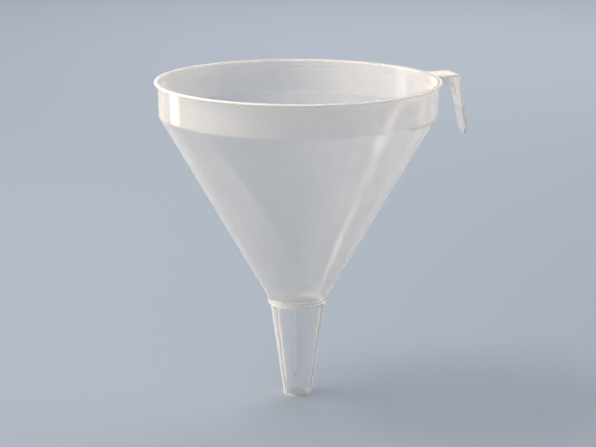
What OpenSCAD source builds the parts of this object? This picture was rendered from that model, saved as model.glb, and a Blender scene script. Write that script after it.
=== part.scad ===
// Filling funnel with a hook handle, moulded in one piece.
// Millimetres, +Z up. The origin is the centre of the stem's open end,
// and the hook points along +X.

/* [Rim] */
// Outer diameter over the lip
rim_d = 200; // [140:1:320]
// How far the lip stands out from the band
lip_out = 2.4; // [1:0.1:4]
// Height of the lip
lip_h = 1.2; // [0.8:0.1:6]
// Rounding of the lip's outer edges
lip_r = 0.5; // [0.2:0.1:1.5]
// Fillet between the lip and the band
lip_fillet = 0.8; // [0.3:0.1:1.5]
// Depth of the inner ledge below the rim
ledge_drop = 6.4; // [3:0.1:12]
// Width of the inner ledge
ledge_w = 0.6; // [0.2:0.1:1]

/* [Band] */
// Height of the upright band, rim to bend
band_h = 23.6; // [16:0.1:50]
// Draft of the band in degrees
band_draft = 1.3; // [0:0.1:4]
// Outer radius of the bend between band and cone
bend_r = 3; // [2.5:0.5:14]

/* [Cone] */
// Full angle of the cone in degrees
cone_angle = 60.3; // [45:0.1:90]
// Wall thickness
wall = 2; // [1.2:0.1:3]

/* [Stem] */
// Length of the stem below the collar
stem_len = 66.5; // [40:0.5:120]
// Outer diameter of the stem at its open end
stem_tip_d = 19.6; // [14:0.2:30]
// Outer diameter of the stem under the collar
stem_top_d = 38.8; // [32:0.2:41]
// Outer diameter of the collar
collar_d = 42.4; // [40:0.2:50]
// Height of the collar
collar_h = 4.9; // [3:0.1:12]
// Rounding of the collar's lower edge
collar_r = 1.6; // [0.4:0.1:2]

/* [Ribs inside the stem] */
// Number of ribs
rib_count = 3; // [1:1:6]
// Thickness of a rib
rib_t = 1.1; // [0.8:0.1:2]
// Height of a rib at the throat
rib_h = 1; // [0.5:0.1:2.5]
// Height above the open end where a rib fades out
rib_fade_z = 3.5; // [2:0.5:20]
// Turn of the first rib from the hook in degrees
rib_turn = 80; // [0:1:120]

/* [Hook] */
// Reach of the hook's shoulder beyond the lip
hook_reach = 17.6; // [14:0.2:40]
// Depth of the hook's tip below the rim
hook_drop = 44.3; // [36:0.1:80]
// Rise of the strap's shoulder above the rim
hook_rise = 0.6; // [0:0.1:3]
// Lean of the leg away from the upright, in degrees
hook_lean = 10; // [0:0.1:15]
// Width of the strap
hook_w = 19.4; // [14:0.2:28]
// Width of the leg at its tip
hook_tip_w = 13.4; // [8:0.2:14]
// Thickness of the strap
hook_t = 2.2; // [1.6:0.1:3]
// Outer radius of the strap's bend
hook_bend_r = 3.4; // [3.2:0.1:8]
// Thickness of the web inside the hook
web_t = 2; // [1.2:0.1:4]
// Depth of the web under the strap
web_under = 4.8; // [2:0.1:8]
// Depth of the web on the leg, at its corner
web_leg = 4.8; // [2:0.1:7]
// Height above the hook's tip where the web fades into the leg
web_end = 24; // [12:0.5:26]

/* [Hidden] */
$fn = 96;
plastic = [0.90, 0.92, 0.93];

// Points on each rounded corner of an outline
arc_steps = 6;
// Small rounding of moulded edges
edge_r = 0.3;

// Radii
rim_r = rim_d / 2;
band_top_r = rim_r - lip_out;
band_low_r = band_top_r - band_h * tan(band_draft);
collar_rad = collar_d / 2;
stem_top_r = stem_top_d / 2;
stem_tip_r = stem_tip_d / 2;
cone_half = cone_angle / 2;

// Heights above the stem's open end
collar_low_z = stem_len;
collar_top_z = collar_low_z + collar_h;
bend_z = collar_top_z + (band_low_r - collar_rad) / tan(cone_half);
rim_z = bend_z + band_h;

// Inward normals of the walls in the section, which runs in [radius, height]
band_in = [-cos(band_draft), sin(band_draft)];
cone_in = [-cos(cone_half), sin(cone_half)];
stem_lean = atan((stem_top_r - stem_tip_r) / stem_len);
stem_in = [-cos(stem_lean), sin(stem_lean)];

// Corners of the inner wall
inner_bend = [band_low_r, bend_z] + mitre(band_in, cone_in) * wall;
bore_tip_r = stem_tip_r - wall / cos(stem_lean);
throat = throat_point();
ledge_z = rim_z - ledge_drop;
ledge_in_r = inner_bend[0] + (ledge_z - inner_bend[1]) * tan(band_draft);
mouth_r = ledge_in_r + ledge_w;

// Roundings, held within their walls
lip_round = min(lip_r, lip_h / 2.1, (rim_r - mouth_r) / 2.1);
lip_under = min(lip_fillet, (lip_out - lip_round) * 0.9);
collar_round = min(collar_r, collar_h / 2, (collar_rad - stem_top_r) * 0.9);
inner_bend_r = max(bend_r - wall, edge_r);

// Offset of a corner between two walls with these inward normals, for a wall of 1
function mitre(a, b) = (a + b) / (1 + a * b);

function unit(v) = v / norm(v);

// Where the inner cone meets the stem's bore
function throat_point() =
    let (on_cone = [collar_rad, collar_top_z] + cone_in * wall)
    let (drop = on_cone[0] - bore_tip_r - on_cone[1] * tan(stem_lean))
    let (down = drop / (tan(cone_half) - tan(stem_lean)))
    [on_cone[0] - down * tan(cone_half), on_cone[1] - down];

// Radius of the stem's bore at a height
function bore_r(z) = bore_tip_r + z * tan(stem_lean);

// Arc that rounds the corner b of the path a, b, c to the radius r
function corner(a, b, c, r) =
    let (u = unit(a - b), v = unit(c - b))
    let (half = acos(u * v) / 2)
    let (centre = b + unit(u + v) * r / sin(half))
    let (from = b + u * r / tan(half) - centre, to = b + v * r / tan(half) - centre)
    let (start = atan2(from[1], from[0]))
    let (turn = atan2(from[0] * to[1] - from[1] * to[0], from * to))
    [for (i = [0:arc_steps])
        centre + r * [cos(start + turn * i / arc_steps), sin(start + turn * i / arc_steps)]];

// Closed outline through points [x, y, radius], each corner rounded to its radius
function rounded(points) =
    let (n = len(points), at = [for (p = points) [p[0], p[1]]])
    [for (i = [0:n - 1])
        for (p = points[i][2] > 0
            ? corner(at[(i + n - 1) % n], at[i], at[(i + 1) % n], points[i][2])
            : [at[i]])
        p];

// Half section of the funnel, from the open end up the outside and down the inside
module wall_section() {
    polygon(rounded([
        [stem_tip_r, 0, edge_r],
        [stem_top_r, collar_low_z, edge_r],
        [collar_rad, collar_low_z, collar_round],
        [collar_rad, collar_top_z, collar_round],
        [band_low_r, bend_z, bend_r],
        [band_top_r, rim_z - lip_h, lip_under],
        [rim_r, rim_z - lip_h, lip_round],
        [rim_r, rim_z, lip_round],
        [mouth_r, rim_z, edge_r],
        [mouth_r, ledge_z, 0],
        [ledge_in_r, ledge_z, 0],
        [inner_bend[0], inner_bend[1], inner_bend_r],
        [throat[0], throat[1], edge_r],
        [bore_tip_r, 0, edge_r],
    ]));
}

// One rib, standing on the bore and fading out towards the open end
module stem_rib() {
    bury = wall / 2;
    start_z = throat[1] + rib_h * 2;
    cone_r = throat[0] + rib_h * 2 * tan(cone_half);
    rotate([90, 0, 0])
        linear_extrude(rib_t, center = true)
            polygon([
                [bore_r(rib_fade_z) + bury, rib_fade_z],
                [bore_r(rib_fade_z), rib_fade_z],
                [throat[0] - rib_h, throat[1]],
                [cone_r, start_z],
                [cone_r + bury, start_z],
                [throat[0] + bury, throat[1]],
            ]);
}

// Hook: root inside the rim's wall, shoulder at the bend and tip of the leg
hook_root_x = band_top_r - wall / 2;
shoulder = [rim_r + hook_reach, rim_z + hook_rise];
tip_z = rim_z - hook_drop;
leg_t = hook_t / cos(hook_lean);
// Outer face of the leg at a height
function leg_x(z) = shoulder[0] + (shoulder[1] - z) * tan(hook_lean);
tip_round = min(hook_tip_w / 2.05, hook_drop / 4);
web_low_z = rim_z - hook_t - web_under;
web_end_z = tip_z + web_end;

// Side view of the strap
module strap_side() {
    low_z = shoulder[1] - hook_t;
    polygon(rounded([
        [hook_root_x, rim_z, 0],
        [shoulder[0], shoulder[1], hook_bend_r],
        [leg_x(tip_z), tip_z, hook_t / 3],
        [leg_x(tip_z) - leg_t, tip_z, hook_t / 3],
        [leg_x(low_z) - leg_t, low_z, max(hook_bend_r - hook_t, edge_r)],
        [hook_root_x, rim_z - hook_t, 0],
    ]));
}

// Front view of the strap, which narrows to a round tip
module strap_front() {
    polygon(rounded([
        [-hook_w / 2, shoulder[1], 0],
        [hook_w / 2, shoulder[1], 0],
        [hook_w / 2, web_low_z, hook_w],
        [hook_tip_w / 2, tip_z, tip_round],
        [-hook_tip_w / 2, tip_z, tip_round],
        [-hook_w / 2, web_low_z, hook_w],
    ]));
}

// Side view of the web that stiffens the inside of the hook
module web_side() {
    sunk = leg_t / 2;
    polygon(rounded([
        [hook_root_x, rim_z - hook_t / 2, 0],
        [hook_root_x, web_low_z, 0],
        [leg_x(web_low_z) - leg_t - web_leg, web_low_z, web_leg],
        [leg_x(web_end_z) - sunk, web_end_z, 0],
        [leg_x(rim_z) - sunk, rim_z - hook_t / 2, 0],
    ]));
}

module hook() {
    intersection() {
        rotate([90, 0, 0])
            linear_extrude(hook_w, center = true)
                strap_side();
        rotate([90, 0, 90])
            linear_extrude(leg_x(tip_z) + hook_t)
                strap_front();
    }
    rotate([90, 0, 0])
        linear_extrude(web_t, center = true)
            web_side();
}

module funnel() {
    color(plastic)
        union() {
            rotate_extrude()
                wall_section();
            for (i = [0:rib_count - 1])
                rotate(rib_turn + i * 360 / rib_count)
                    stem_rib();
            hook();
        }
}

funnel();
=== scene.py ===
# %% [markdown]
# # A moulded funnel with a hook handle
#
# The funnel is one moulding in milky, see-through plastic. This lesson loads the engineering model as a
# fixed frame, rebuilds its skin as a smooth mesh in the same place, gives it the plastic, and lights it
# as a studio would. All lengths are in metres, and the origin is the centre of the stem's open end.

# %% Load the frame
import math

import bmesh
import bpy
from mathutils import Matrix, Vector


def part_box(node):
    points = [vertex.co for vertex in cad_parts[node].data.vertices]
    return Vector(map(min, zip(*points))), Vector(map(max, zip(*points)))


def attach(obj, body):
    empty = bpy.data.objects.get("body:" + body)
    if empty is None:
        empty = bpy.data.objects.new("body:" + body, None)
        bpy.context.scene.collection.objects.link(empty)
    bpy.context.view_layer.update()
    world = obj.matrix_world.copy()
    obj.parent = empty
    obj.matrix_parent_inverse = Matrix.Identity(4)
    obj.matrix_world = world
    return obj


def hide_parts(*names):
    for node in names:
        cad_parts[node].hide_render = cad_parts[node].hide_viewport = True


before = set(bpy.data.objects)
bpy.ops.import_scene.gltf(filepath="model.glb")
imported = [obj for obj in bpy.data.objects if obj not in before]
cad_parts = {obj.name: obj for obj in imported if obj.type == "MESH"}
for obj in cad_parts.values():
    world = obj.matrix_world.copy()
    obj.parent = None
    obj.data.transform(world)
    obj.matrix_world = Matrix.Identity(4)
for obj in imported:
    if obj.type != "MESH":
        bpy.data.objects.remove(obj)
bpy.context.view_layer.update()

MM = 0.001

# %% [markdown]
# ## The camera
#
# The photograph was taken from about a metre and a half with a long lens, looking a little down. A camera
# is matched by its place, its pitch and its focal length, and these were worked out from the ellipse of
# the rim and the sides of the cone. The hook points along +X here, and the photograph sees it turned away,
# so the whole view is turned about Z by that angle.

# %% Camera
VIEW_TURN = math.radians(-18.3)
CAMERA_BACK = 1.5013
CAMERA_UP = 0.4679
CAMERA_PITCH = math.radians(12.91)
CAMERA_ROLL = 0.0024
SENSOR_WIDTH = 36.0
IMAGE_WIDTH = 596
FOCAL_PIXELS = 2188.1


def from_view(right, away, up):
    """A point given as the camera sees it: to the right, away from it and up from the stem's end."""
    return Matrix.Rotation(VIEW_TURN, 3, "Z") @ Vector((right, away, up))


camera_data = bpy.data.cameras.new("camera")
camera_data.sensor_width = SENSOR_WIDTH
camera_data.lens = FOCAL_PIXELS / IMAGE_WIDTH * SENSOR_WIDTH
camera = bpy.data.objects.new("camera", camera_data)
bpy.context.scene.collection.objects.link(camera)
turn = Matrix.Rotation(VIEW_TURN, 4, "Z")
tip_down = Matrix.Rotation(math.pi / 2 - CAMERA_PITCH, 4, "X")
roll = Matrix.Rotation(CAMERA_ROLL, 4, "Z")
camera.matrix_world = Matrix.Translation(from_view(0, -CAMERA_BACK, CAMERA_UP)) @ turn @ tip_down @ roll
bpy.context.scene.camera = camera
print("camera at", [round(v, 3) for v in camera.location], "lens", round(camera_data.lens, 1))

# %% [markdown]
# ## The funnel's own sizes
#
# The rim's radius comes from the frame. The rest are the moulding's own sizes, as in the engineering
# model: a wall of 2 mm, a cone of about 60 degrees, a band with a little draft and a stem that tapers to
# the outlet. The height and the corners of the section follow from them.

# %% Sizes
RIM_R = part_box("funnel")[1].y
WALL = 2 * MM
LIP_OUT = 2.4 * MM
LIP_H = 1.2 * MM
LIP_R = 0.5 * MM
LIP_FILLET = 0.8 * MM
LEDGE_DROP = 6.4 * MM
LEDGE_W = 0.6 * MM
BAND_H = 23.6 * MM
BAND_DRAFT = math.radians(1.3)
BEND_R = 3 * MM
CONE_HALF = math.radians(30.15)
STEM_LEN = 66.5 * MM
STEM_TIP_R = 9.8 * MM
STEM_TOP_R = 19.4 * MM
COLLAR_R = 21.2 * MM
COLLAR_H = 4.9 * MM
COLLAR_ROUND = 1.6 * MM
EDGE_R = 0.3 * MM

BAND_TOP_R = RIM_R - LIP_OUT
BAND_LOW_R = BAND_TOP_R - BAND_H * math.tan(BAND_DRAFT)
COLLAR_TOP_Z = STEM_LEN + COLLAR_H
BEND_Z = COLLAR_TOP_Z + (BAND_LOW_R - COLLAR_R) / math.tan(CONE_HALF)
RIM_Z = BEND_Z + BAND_H
STEM_LEAN = math.atan((STEM_TOP_R - STEM_TIP_R) / STEM_LEN)
BORE_TIP_R = STEM_TIP_R - WALL / math.cos(STEM_LEAN)


def inward(lean):
    """Normal of a wall that leans out by an angle, pointing into the funnel, as (radius, height)."""
    return Vector((-math.cos(lean), math.sin(lean)))


def mitre(a, b):
    """Offset of the corner between two walls for a wall of 1."""
    return (a + b) / (1 + a.dot(b))


INNER_BEND = Vector((BAND_LOW_R, BEND_Z)) + WALL * mitre(inward(BAND_DRAFT), inward(CONE_HALF))
CONE_FOOT = Vector((COLLAR_R, COLLAR_TOP_Z)) + WALL * inward(CONE_HALF)
FOOT_GAP = CONE_FOOT.x - BORE_TIP_R - CONE_FOOT.y * math.tan(STEM_LEAN)
FOOT_DROP = FOOT_GAP / (math.tan(CONE_HALF) - math.tan(STEM_LEAN))
THROAT = CONE_FOOT - FOOT_DROP * Vector((math.tan(CONE_HALF), 1))
LEDGE_Z = RIM_Z - LEDGE_DROP
LEDGE_R = INNER_BEND.x + (LEDGE_Z - INNER_BEND.y) * math.tan(BAND_DRAFT)
MOUTH_R = LEDGE_R + LEDGE_W
print("rim", RIM_Z / MM, "throat", [round(v / MM, 2) for v in THROAT])

# %% [markdown]
# ## The wall
#
# The body of the funnel is a solid of revolution. It could be lathed with a Screw modifier, but drawing
# the section with one extruded vertex and spinning it gives a mesh at once whose corners are known. The
# corners are then bevelled ring by ring to the mould's own radii.

# %% Draw the section and spin it
SPIN_STEPS = 240
ARC_STEPS = 6
SAME_PLACE = 0.01 * MM


def draw_wire(name, points):
    """A closed wire through the points, drawn by extruding one vertex from point to point."""
    bpy.ops.object.select_all(action="DESELECT")
    bpy.ops.mesh.primitive_plane_add(size=MM)
    piece = bpy.context.object
    piece.name = name
    bpy.ops.object.mode_set(mode="EDIT")
    bpy.ops.mesh.select_mode(type="VERT")
    bpy.ops.mesh.merge(type="CENTER")
    bpy.ops.transform.translate(value=points[0])
    for here, there in zip(points, points[1:] + points[:1]):
        bpy.ops.mesh.extrude_vertices_move(TRANSFORM_OT_translate={"value": there - here})
    bpy.ops.mesh.select_all(action="SELECT")
    bpy.ops.mesh.remove_doubles(threshold=SAME_PLACE)
    return piece


SECTION = [
    (STEM_TIP_R, 0, EDGE_R),
    (STEM_TOP_R, STEM_LEN, EDGE_R),
    (COLLAR_R, STEM_LEN, COLLAR_ROUND),
    (COLLAR_R, COLLAR_TOP_Z, COLLAR_ROUND),
    (BAND_LOW_R, BEND_Z, BEND_R),
    (BAND_TOP_R, RIM_Z - LIP_H, LIP_FILLET),
    (RIM_R, RIM_Z - LIP_H, LIP_R),
    (RIM_R, RIM_Z, LIP_R),
    (MOUTH_R, RIM_Z, EDGE_R),
    (MOUTH_R, LEDGE_Z, 0),
    (LEDGE_R, LEDGE_Z, 0),
    (INNER_BEND.x, INNER_BEND.y, BEND_R - WALL),
    (THROAT.x, THROAT.y, EDGE_R),
    (BORE_TIP_R, 0, EDGE_R),
]

funnel = draw_wire("funnel_skin", [Vector((r, 0, z)) for r, z, _ in SECTION])
bpy.ops.mesh.spin(steps=SPIN_STEPS, angle=2 * math.pi, center=(0, 0, 0), axis=(0, 0, 1))
bpy.ops.mesh.select_all(action="SELECT")
bpy.ops.mesh.remove_doubles(threshold=SAME_PLACE)
bpy.ops.mesh.normals_make_consistent(inside=False)
print("spun wall:", len(bmesh.from_edit_mesh(funnel.data).faces), "faces")

# %% Round the rings


def select_edges(piece, wanted):
    """Selects the edges that the test wants, given their two ends, and says how many there are."""
    bpy.ops.mesh.select_mode(type="EDGE")
    bpy.ops.mesh.select_all(action="DESELECT")
    mesh = bmesh.from_edit_mesh(piece.data)
    count = 0
    for edge in mesh.edges:
        if wanted(edge.verts[0].co, edge.verts[1].co):
            edge.select_set(True)
            count += 1
    bmesh.update_edit_mesh(piece.data)
    return count


def on_ring(radius, height):
    """A test for edges that lie along one ring of the section."""

    def touches(point):
        off = math.hypot(point.x, point.y) - radius
        return abs(off) < SAME_PLACE and abs(point.z - height) < SAME_PLACE

    def along(a, b):
        return touches(a) and touches(b)

    return along


def round_edges(radius, turn_angle, steps=ARC_STEPS):
    """Bevels the selected edges to an arc of this radius, where the surface turns by this angle."""
    bpy.ops.mesh.bevel(
        offset_type="OFFSET", offset=radius * math.tan(turn_angle / 2), segments=steps, affect="EDGES"
    )


corners = [Vector((r, z)) for r, z, _ in SECTION]
for i, (radius, height, rounding) in enumerate(SECTION):
    if rounding == 0:
        continue
    before = corners[i] - corners[i - 1]
    after = corners[(i + 1) % len(corners)] - corners[i]
    count = select_edges(funnel, on_ring(radius, height))
    round_edges(rounding, before.angle(after))
    print("ring", round(radius / MM, 1), round(height / MM, 1), "edges", count)
bpy.ops.object.mode_set(mode="OBJECT")
print("rounded wall:", len(funnel.data.polygons), "faces")

# %% [markdown]
# ## The ribs inside the stem
#
# Three thin ribs run down the bore and fade out before the outlet, so that air can leave beside the
# liquid. Each is a flat outline, filled, extruded to its thickness and sunk into the wall.

# %% Ribs
RIB_COUNT = 3
RIB_T = 1.1 * MM
RIB_H = 1.0 * MM
RIB_FADE_Z = 3.5 * MM
RIB_TURN = math.radians(80)


def slab(name, points, thickness):
    """A flat outline, filled and extruded evenly to both sides of its plane."""
    normal = (points[1] - points[0]).cross(points[2] - points[1]).normalized()
    piece = draw_wire(name, [p - normal * thickness / 2 for p in points])
    bpy.ops.mesh.edge_face_add()
    bpy.ops.mesh.extrude_region_move(TRANSFORM_OT_translate={"value": normal * thickness})
    bpy.ops.mesh.select_all(action="SELECT")
    bpy.ops.mesh.normals_make_consistent(inside=False)
    return piece


def bore_r(z):
    """Radius of the stem's bore at a height."""
    return BORE_TIP_R + z * math.tan(STEM_LEAN)


def rib_outline(angle):
    """One rib seen from its side, turned about the axis: it thins out towards the outlet."""
    bury = WALL / 2
    top_z = THROAT.y + 2 * RIB_H
    top_r = THROAT.x + 2 * RIB_H * math.tan(CONE_HALF)
    flat = [
        (bore_r(RIB_FADE_Z) + bury, RIB_FADE_Z),
        (bore_r(RIB_FADE_Z), RIB_FADE_Z),
        (THROAT.x - RIB_H, THROAT.y),
        (top_r, top_z),
        (top_r + bury, top_z),
        (THROAT.x + bury, THROAT.y),
    ]
    around = Matrix.Rotation(angle, 3, "Z")
    return [around @ Vector((r, 0, z)) for r, z in flat]


extras = []
for i in range(RIB_COUNT):
    rib = slab(f"rib_{i}", rib_outline(RIB_TURN + i * 2 * math.pi / RIB_COUNT), RIB_T)
    bpy.ops.object.mode_set(mode="OBJECT")
    extras.append(rib)
print("ribs:", len(extras))

# %% [markdown]
# ## The hook
#
# The handle is a strap that leaves the rim level with the lip, turns down over a rounded shoulder and ends
# in a tongue. A thin web fills its inner corner, so that it doesn't fold. The strap's side view is drawn
# and extruded to its width, the shoulder is bevelled, and the tongue is narrowed and rounded.

# %% Strap
HOOK_REACH = 17.6 * MM
HOOK_RISE = 0.6 * MM
HOOK_DROP = 44.3 * MM
HOOK_LEAN = math.radians(10)
HOOK_W = 19.4 * MM
HOOK_TIP_W = 13.4 * MM
HOOK_T = 2.2 * MM
HOOK_BEND_R = 3.4 * MM
HOOK_EDGE_R = 0.5 * MM

HOOK_ROOT_X = BAND_TOP_R - WALL / 2
SHOULDER = Vector((RIM_R + HOOK_REACH, 0, RIM_Z + HOOK_RISE))
TIP_Z = RIM_Z - HOOK_DROP
LEG_T = HOOK_T / math.cos(HOOK_LEAN)
LOW_Z = SHOULDER.z - HOOK_T


def leg_x(z):
    """The leg's outer face at a height."""
    return SHOULDER.x + (SHOULDER.z - z) * math.tan(HOOK_LEAN)


def near(point, x, z):
    """Whether a point lies at this place in the hook's side view."""
    return abs(point.x - x) < SAME_PLACE and abs(point.z - z) < SAME_PLACE


def crosswise(x, z):
    """A test for an edge that runs across the strap at a corner of its side view."""

    def along(a, b):
        return near(a, x, z) and near(b, x, z)

    return along


INNER_X = leg_x(LOW_Z) - LEG_T
strap = slab(
    "strap",
    [
        Vector((HOOK_ROOT_X, 0, RIM_Z)),
        SHOULDER,
        Vector((leg_x(TIP_Z), 0, TIP_Z)),
        Vector((leg_x(TIP_Z) - LEG_T, 0, TIP_Z)),
        Vector((INNER_X, 0, LOW_Z)),
        Vector((HOOK_ROOT_X, 0, RIM_Z - HOOK_T)),
    ],
    HOOK_W,
)
BEND_TURN = math.pi / 2 - HOOK_LEAN
select_edges(strap, crosswise(SHOULDER.x, SHOULDER.z))
round_edges(HOOK_BEND_R, BEND_TURN, 2 * ARC_STEPS)
select_edges(strap, crosswise(INNER_X, LOW_Z))
round_edges(HOOK_BEND_R - HOOK_T, BEND_TURN, 2 * ARC_STEPS)

# The tongue: the two ends of the leg are drawn together, and its corners are rounded
select_edges(strap, lambda a, b: abs(a.z - TIP_Z) < SAME_PLACE and abs(b.z - TIP_Z) < SAME_PLACE)
bpy.ops.transform.resize(value=(1, HOOK_TIP_W / HOOK_W, 1), center_override=(SHOULDER.x, 0, TIP_Z))
select_edges(
    strap,
    lambda a, b: abs(a.z - TIP_Z) < SAME_PLACE
    and abs(b.z - TIP_Z) < SAME_PLACE
    and abs(a.y - b.y) < SAME_PLACE,
)
# A little less than half the tip's width, so that the two roundings stay apart
TIP_ROUND = HOOK_TIP_W / 2.05
round_edges(TIP_ROUND, math.pi / 2, 2 * ARC_STEPS)
bpy.ops.object.mode_set(mode="OBJECT")
extras.append(strap)
print("strap:", len(strap.data.polygons), "faces")

# %% Web
WEB_T = 2 * MM
WEB_UNDER = 4.8 * MM
WEB_LEG = 4.8 * MM
WEB_END = 24 * MM
WEB_EDGE_R = 0.25 * MM
WEB_END_Z = TIP_Z + WEB_END
WEB_LOW_Z = RIM_Z - HOOK_T - WEB_UNDER
SUNK = LEG_T / 2

web_corner = Vector((leg_x(WEB_LOW_Z) - LEG_T - WEB_LEG, 0, WEB_LOW_Z))
web_end = Vector((leg_x(WEB_END_Z) - SUNK, 0, WEB_END_Z))
web = slab(
    "web",
    [
        Vector((HOOK_ROOT_X, 0, RIM_Z - HOOK_T / 2)),
        Vector((HOOK_ROOT_X, 0, WEB_LOW_Z)),
        web_corner,
        web_end,
        Vector((leg_x(RIM_Z) - SUNK, 0, RIM_Z - HOOK_T / 2)),
    ],
    WEB_T,
)
select_edges(web, crosswise(web_corner.x, web_corner.z))
round_edges(WEB_LEG, (web_end - web_corner).angle(Vector((1, 0, 0))))
bpy.ops.object.mode_set(mode="OBJECT")
extras.append(web)
print("web:", len(web.data.polygons), "faces")

# %% [markdown]
# ## One moulding
#
# On the real funnel the wall, the ribs and the hook are one piece of plastic. Light that passes through
# it meets no inner faces, so they are joined by a Boolean union into one closed skin, not just laid into
# each other. The hook's edges get the small radius of a moulded edge first. Smooth shading would tilt the
# normals of the long cone towards its rounded ends, and a tilted normal sends a highlight astray, so a
# Weighted Normal modifier lets the large faces rule.

# %% Soften the hook's edges and join
SHARP = math.radians(40)
for piece, width in ((strap, HOOK_EDGE_R), (web, WEB_EDGE_R)):
    soft = piece.modifiers.new("soft edges", "BEVEL")
    soft.width = width
    soft.segments = 3
    soft.limit_method = "ANGLE"
    soft.angle_limit = SHARP
    bpy.context.view_layer.objects.active = piece
    bpy.ops.object.modifier_apply(modifier=soft.name)

bpy.ops.object.select_all(action="DESELECT")
bpy.context.view_layer.objects.active = funnel
funnel.select_set(True)
for piece in extras:
    join = funnel.modifiers.new("join", "BOOLEAN")
    join.operation = "UNION"
    join.solver = "EXACT"
    join.object = piece
    bpy.ops.object.modifier_apply(modifier=join.name)
    bpy.data.objects.remove(piece)

bpy.ops.object.mode_set(mode="EDIT")
bpy.ops.mesh.select_all(action="SELECT")
bpy.ops.mesh.remove_doubles(threshold=SAME_PLACE / 10)
bpy.ops.object.mode_set(mode="OBJECT")
SMOOTH_ANGLE = math.radians(32)
bpy.ops.object.shade_smooth_by_angle(angle=SMOOTH_ANGLE)
even = funnel.modifiers.new("even shading", "WEIGHTED_NORMAL")
even.keep_sharp = True
bpy.ops.object.modifier_apply(modifier=even.name)

check = bmesh.new()
check.from_mesh(funnel.data)
open_edges = sum(not e.is_manifold for e in check.edges)
print("one skin:", len(funnel.data.polygons), "faces, open edges", open_edges)
print("volume", round(check.calc_volume() / MM**3 / 1000, 1), "cubic centimetres")
check.free()

# %% [markdown]
# ## The plastic
#
# Natural polypropylene is milky: part of the light goes straight through, and the rest is scattered inside
# the wall. Two Principled shaders are mixed for that, a clear one with transmission and a coat, and a milky
# one with subsurface scattering. The milk's share is small on the plain wall. It grows where the plastic is
# thick, at the lip, the ribs, the collar and the stem's end, and where the wall is seen edge-on. The shares
# change softly with clouds and with flow lines that run from the stem to the rim. Lamps shine through the
# wall, because shadow rays meet a tinted transparent shader.

# %% Shader helpers


class Value:
    """A number or colour in a shader, so that shader maths reads as plain Python."""

    def __init__(self, shader, socket):
        self.shader = shader
        self.socket = socket

    def math(self, operation, *values):
        settings = {"operation": operation}
        inputs = dict(enumerate(values))
        return self.shader.node("ShaderNodeMath", settings, inputs)[0]

    def __add__(self, other):
        return self.math("ADD", self, other)

    __radd__ = __add__

    def __mul__(self, other):
        if isinstance(other, tuple):
            settings = {"operation": "MULTIPLY"}
            return self.shader.node("ShaderNodeVectorMath", settings, {0: self, 1: other})[0]
        return self.math("MULTIPLY", self, other)

    __rmul__ = __mul__

    def __sub__(self, other):
        return self.math("SUBTRACT", self, other)

    def __rsub__(self, other):
        return self.math("SUBTRACT", other, self)

    def ramp(self, start, end):
        """Rises smoothly from 0 at start to 1 at end, whichever of them is larger."""
        settings = {"interpolation_type": "SMOOTHSTEP"}
        inputs = {"Value": self, "From Min": start, "From Max": end}
        return self.shader.node("ShaderNodeMapRange", settings, inputs)[0]


class Shader:
    """The node tree of a material, a light or the world."""

    def __init__(self, owner):
        owner.use_nodes = True
        self.tree = owner.node_tree
        self.tree.nodes.clear()

    def node(self, kind, settings=None, inputs=None):
        """Adds a node, sets it up, feeds its inputs, and gives back its outputs."""
        node = self.tree.nodes.new(kind)
        for name, value in (settings or {}).items():
            setattr(node, name, value)
        for name, value in (inputs or {}).items():
            if isinstance(value, Value):
                self.tree.links.new(value.socket, node.inputs[name])
            else:
                node.inputs[name].default_value = value
        return [Value(self, socket) for socket in node.outputs if socket.enabled]

    def output(self, kind, name):
        """Adds a node as it comes, and gives back the one output of this name."""
        return next(value for value in self.node(kind) if value.socket.name == name)


print("shader helpers ready")

# %% Clouds and flow lines
CLOUD_SCALE = 22
LINES_AROUND = 14
LINES_UP = 6


def cloud_pattern(shader, place, scale, detail):
    """Soft clouds of one size, all through the plastic."""
    inputs = {"Vector": place, "Scale": scale, "Detail": detail}
    return shader.node("ShaderNodeTexNoise", None, inputs)[0]


def flow_lines(shader, place):
    """Lines that run up the wall, because the pattern changes faster around the axis than along it."""
    z = shader.node("ShaderNodeSeparateXYZ", None, {0: place})[2]
    aim = shader.node("ShaderNodeVectorMath", {"operation": "NORMALIZE"}, {0: place * (1, 1, 0)})[0]
    aim_x, aim_y, _ = shader.node("ShaderNodeSeparateXYZ", None, {0: aim})
    around = {0: aim_x * LINES_AROUND, 1: aim_y * LINES_AROUND, 2: z * LINES_UP}
    lines_at = shader.node("ShaderNodeCombineXYZ", None, around)[0]
    return cloud_pattern(shader, lines_at, scale=1, detail=4)


print("clouds about", round(1 / CLOUD_SCALE / MM), "mm across")

# %% Where the plastic is milky
# Share of milk on the plain wall, and what each place adds to it
WALL_MILK = 0.16
EDGE_MILK = 0.42
LIP_MILK = 0.45
HOOK_MILK = 0.12
BAND_MILK = 0.08
RIB_MILK = 0.8
COLLAR_MILK = 0.8
THROAT_MILK = 0.6
END_MILK = 0.8
STEM_MILK = -0.09
STEM_EDGE_MILK = 0.36
CLOUD_SHARE = 0.06
LINE_SHARE = 0.02
NOISE_MIDDLE = 0.5

# How far the wall is turned from the eye where the milk starts to grow and where it is full
EDGE_FROM, EDGE_TO = 0.6, 0.95
STEM_EDGE_FROM, STEM_EDGE_TO = 0.45, 0.75

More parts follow.
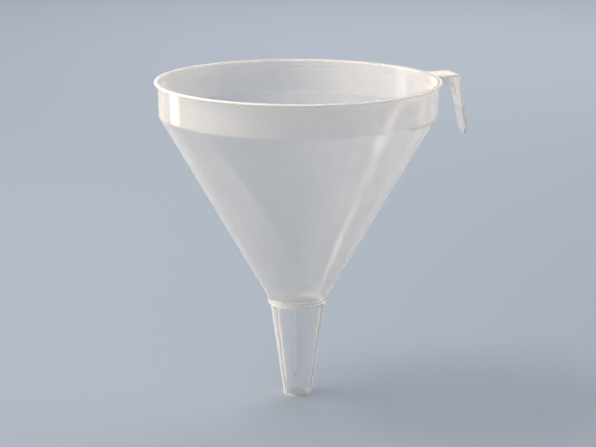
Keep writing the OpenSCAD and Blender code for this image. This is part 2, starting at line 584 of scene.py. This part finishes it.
# Distances from the edge of each place at which its milk is full, or has faded
LIP_FADED = 1 * MM
BAND_FADED = 1 * MM
HOOK_FULL = 3 * MM
STEM_FULL = 2 * MM
RIB_FADED, RIB_FULL = 0.05 * MM, 0.2 * MM
COLLAR_FULL, COLLAR_FADED = 1 * MM, 2 * MM
COLLAR_UNDER_FADED, COLLAR_IN_FADED = 0.3 * MM, 0.5 * MM
THROAT_FULL, THROAT_FADED = 0.5 * MM, 1.3 * MM
THROAT_OUT_FULL, THROAT_OUT_FADED = 0.9 * MM, 1.6 * MM
END_FULL, END_FADED = 0.3 * MM, 1 * MM


def milk_share(shader, place, clouds, lines):
    """The milk's share, which grows where the wall is thick or seen edge-on."""
    x, _, z = shader.node("ShaderNodeSeparateXYZ", None, {0: place})
    radius = shader.node("ShaderNodeVectorMath", {"operation": "LENGTH"}, {0: place * (1, 1, 0)})[0]
    lip_low = RIM_Z - LIP_H
    on_lip = z.ramp(lip_low - LIP_FADED, lip_low) * radius.ramp(BAND_TOP_R, BAND_TOP_R + LIP_FADED)
    on_band = z.ramp(BEND_Z - BAND_FADED, BEND_Z + BAND_FADED)
    on_hook = x.ramp(RIM_R, RIM_R + HOOK_FULL)
    in_bore = z * math.tan(STEM_LEAN) + BORE_TIP_R - radius
    on_rib = in_bore.ramp(RIB_FADED, RIB_FULL) * z.ramp(THROAT.y + 2 * RIB_H, THROAT.y)
    over_stem = z.ramp(STEM_LEN - COLLAR_UNDER_FADED, STEM_LEN)
    under_cone = z.ramp(STEM_LEN + COLLAR_FADED, STEM_LEN + COLLAR_FULL)
    on_collar = over_stem * under_cone * radius.ramp(STEM_TOP_R - COLLAR_IN_FADED, STEM_TOP_R)
    over_bore = z.ramp(THROAT.y - THROAT_FADED, THROAT.y - THROAT_FULL)
    below_cone = z.ramp(THROAT.y + THROAT_FADED, THROAT.y + THROAT_FULL)
    near_bore = radius.ramp(THROAT.x + THROAT_OUT_FADED, THROAT.x + THROAT_OUT_FULL)
    on_throat = over_bore * below_cone * near_bore
    on_end = z.ramp(END_FADED, END_FULL)
    on_stem = z.ramp(STEM_LEN, STEM_LEN - STEM_FULL)
    edge_on = shader.output("ShaderNodeLayerWeight", "Facing")
    stem_edge = edge_on.ramp(STEM_EDGE_FROM, STEM_EDGE_TO) * STEM_EDGE_MILK

    share = WALL_MILK + (clouds - NOISE_MIDDLE) * CLOUD_SHARE + (lines - NOISE_MIDDLE) * LINE_SHARE
    share = share + edge_on.ramp(EDGE_FROM, EDGE_TO) * EDGE_MILK
    share = share + on_stem * stem_edge + on_stem * STEM_MILK
    share = share + on_lip * LIP_MILK + on_band * BAND_MILK + on_hook * HOOK_MILK
    share = share + on_rib * RIB_MILK + on_collar * COLLAR_MILK + on_end * END_MILK
    return share + on_throat * THROAT_MILK


print("milk on the plain wall:", WALL_MILK, "of the whole")

# %% Natural plastic
MILK = (0.95, 0.935, 0.92, 1)
MILK_DEEP = (0.90, 0.885, 0.87, 1)
CLEAR_TINT = (0.975, 0.98, 0.985, 1)
LAMP_TINT = (0.74, 0.74, 0.74, 1)
PLASTIC_IOR = 1.49
SCATTER = 5 * MM
HAZE = 0.02
LINE_HAZE = 0.02
RIM_GLOW = 0.3
SHEEN_ROUGHNESS = 0.4
COAT_ROUGHNESS = 0.03
COAT_IOR = 1.6
CLOUD_TONE, LINE_TONE = 0.6, 0.4
PEEL_SCALE = 420
PEEL_STRENGTH = 0.01
PEEL_DEPTH = 0.4 * MM
LINE_RELIEF = 0.3


def natural_plastic():
    """Milky plastic, clear where the wall is thin and white where it is thick or seen edge-on."""
    material = bpy.data.materials.new("milky_plastic")
    shader = Shader(material)
    place = shader.output("ShaderNodeTexCoord", "Object")
    clouds = cloud_pattern(shader, place, CLOUD_SCALE, detail=3)
    lines = flow_lines(shader, place)
    peel = cloud_pattern(shader, place, PEEL_SCALE, detail=2)
    relief = {"Strength": PEEL_STRENGTH, "Distance": PEEL_DEPTH, "Height": peel + lines * LINE_RELIEF}
    bump = shader.node("ShaderNodeBump", None, relief)[0]
    share = milk_share(shader, place, clouds, lines)

    # Sockets 6 and 7 of a Mix node are its two colours
    tones = {0: clouds * CLOUD_TONE + lines * LINE_TONE, 6: MILK, 7: MILK_DEEP}
    colour = shader.node("ShaderNodeMix", {"data_type": "RGBA"}, tones)[0]
    milk = shader.node(
        "ShaderNodeBsdfPrincipled",
        {"subsurface_method": "RANDOM_WALK"},
        {
            "Base Color": colour,
            "Roughness": HAZE + lines * LINE_HAZE,
            "IOR": PLASTIC_IOR,
            "Subsurface Weight": 1.0,
            "Subsurface Radius": (1, 1, 1),
            "Subsurface Scale": SCATTER,
            "Sheen Weight": RIM_GLOW,
            "Sheen Roughness": SHEEN_ROUGHNESS,
            "Normal": bump,
        },
    )[0]
    clear = shader.node(
        "ShaderNodeBsdfPrincipled",
        None,
        {
            "Base Color": CLEAR_TINT,
            "Roughness": HAZE + lines * LINE_HAZE,
            "IOR": PLASTIC_IOR,
            "Transmission Weight": 1.0,
            "Coat Weight": 1.0,
            "Coat Roughness": COAT_ROUGHNESS,
            "Coat IOR": COAT_IOR,
            "Normal": bump,
        },
    )[0]
    body = shader.node("ShaderNodeMixShader", None, {0: share, 1: clear, 2: milk})[0]
    lamp_ray = shader.output("ShaderNodeLightPath", "Is Shadow Ray")
    through = shader.node("ShaderNodeBsdfTransparent", None, {"Color": LAMP_TINT})[0]
    surface = shader.node("ShaderNodeMixShader", None, {0: lamp_ray, 1: body, 2: through})[0]
    shader.node("ShaderNodeOutputMaterial", None, {"Surface": surface})
    return material


funnel.data.materials.clear()
funnel.data.materials.append(natural_plastic())
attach(funnel, "root")
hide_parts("funnel")
print("material:", funnel.active_material.name)

# %% [markdown]
# ## The studio
#
# A pale floor fills the whole view, because the camera looks down. Three small lights stand over each
# other on the left and a little behind, and only reflections show them: they draw the upright patches on
# the band and the long streak inside the cone. A warm key light from the left and a weaker one from the
# right reach the funnel alone. A soft light above, another far behind and a pale world light the floor as
# well. The large lights are kept out of reflections and of the rays that pass through the plastic, which
# would make the picture noisy.

# %% Floor
FLOOR_HALF = 6.0
FLOOR_COLOUR = (0.80, 0.86, 0.93, 1)
FLOOR_ROUGHNESS = 0.6


def floor_paint():
    """Plain pale paint, the same all over."""
    material = bpy.data.materials.new("floor_paint")
    shader = Shader(material)
    paint = {"Base Color": FLOOR_COLOUR, "Roughness": FLOOR_ROUGHNESS}
    surface = shader.node("ShaderNodeBsdfPrincipled", None, paint)[0]
    shader.node("ShaderNodeOutputMaterial", None, {"Surface": surface})
    return material


bpy.ops.object.select_all(action="DESELECT")
bpy.ops.mesh.primitive_plane_add(size=2 * FLOOR_HALF)
floor = bpy.context.object
floor.name = "floor"
floor.data.materials.append(floor_paint())
print("floor:", 2 * FLOOR_HALF, "m wide")

# %% Lights
WORLD_COLOUR = (0.80, 0.88, 1.0, 1)
WORLD_LEVEL = 0.25


def soft_light(name, at, towards, width, height, radiance, colour):
    """A rectangular light, aimed at a point, whose face has a given brightness."""
    data = bpy.data.lights.new(name, "AREA")
    data.shape = "RECTANGLE"
    data.size = width
    data.size_y = height
    data.energy = radiance * math.pi * width * height
    data.color = colour
    light = bpy.data.objects.new(name, data)
    light.location = at
    light.rotation_euler = (towards - at).to_track_quat("-Z", "Y").to_euler()
    light.visible_camera = False
    bpy.context.scene.collection.objects.link(light)
    return light


def only_in_gloss(light):
    """Lets a light show only to rays that a glossy face has sent on, not straight through the wall."""
    lamp = Shader(light.data)
    met = lamp.output("ShaderNodeLightPath", "Glossy Depth")
    glow = lamp.node("ShaderNodeEmission", None, {"Strength": met.math("MINIMUM", met, 1)})[0]
    lamp.node("ShaderNodeOutputLight", None, {"Surface": glow})


MIDDLE = Vector((0, 0, 0.13))
WARM = (1, 0.85, 0.69)
WHITE = (1, 1, 1)
STRIP_AWAY = 0.407
# Name, height, turn from the left to the back in degrees, height and width of its face, brightness
STRIPS = (
    ("low_strip", 0.150, 19.5, 0.09, 0.10, 1.5),
    ("middle_strip", 0.294, 19.8, 0.102, 0.115, 9.8),
    ("high_strip", 0.400, 25.0, 0.11, 0.11, 1.8),
)
strips = []
for name, up, turned, tall, wide, radiance in STRIPS:
    side = math.radians(turned)
    at = from_view(-STRIP_AWAY * math.cos(side), STRIP_AWAY * math.sin(side), up)
    strips.append(soft_light(name, at, Vector((0, 0, up)), wide, tall, radiance, WARM))

KEY_AT = from_view(-0.85, -0.15, 0.75)
RIM_AT = from_view(0.9, 0.5, 0.5)
TOP_AT = from_view(-0.7, 0.1, 1.4)
BACK_AT = from_view(0.3, 1.9, 1.5)
FAR_FLOOR = from_view(0.1, 1.5, 0)
key = soft_light("key", KEY_AT, MIDDLE, width=0.7, height=0.9, radiance=12.5, colour=WARM)
rim = soft_light("rim", RIM_AT, MIDDLE, width=0.5, height=0.8, radiance=2.8, colour=WARM)
top = soft_light("top_light", TOP_AT, MIDDLE, width=0.65, height=0.65, radiance=5.4, colour=WHITE)
back = soft_light("back_light", BACK_AT, FAR_FLOOR, width=1.8, height=1.0, radiance=2.0, colour=WHITE)

on_funnel = bpy.data.collections.new("on_funnel")
on_funnel.objects.link(funnel)
for light in strips + [key, rim]:
    light.light_linking.receiver_collection = on_funnel
for light in strips:
    only_in_gloss(light)
    light.visible_diffuse = False
for light in (key, rim, top, back):
    light.visible_glossy = False
    light.visible_transmission = False

world = bpy.data.worlds.new("studio")
bpy.context.scene.world = world
air = Shader(world)
sky = air.node("ShaderNodeBackground", None, {"Color": WORLD_COLOUR, "Strength": WORLD_LEVEL})[0]
air.node("ShaderNodeOutputWorld", None, {"Surface": sky})
bpy.context.scene.view_settings.view_transform = "Standard"
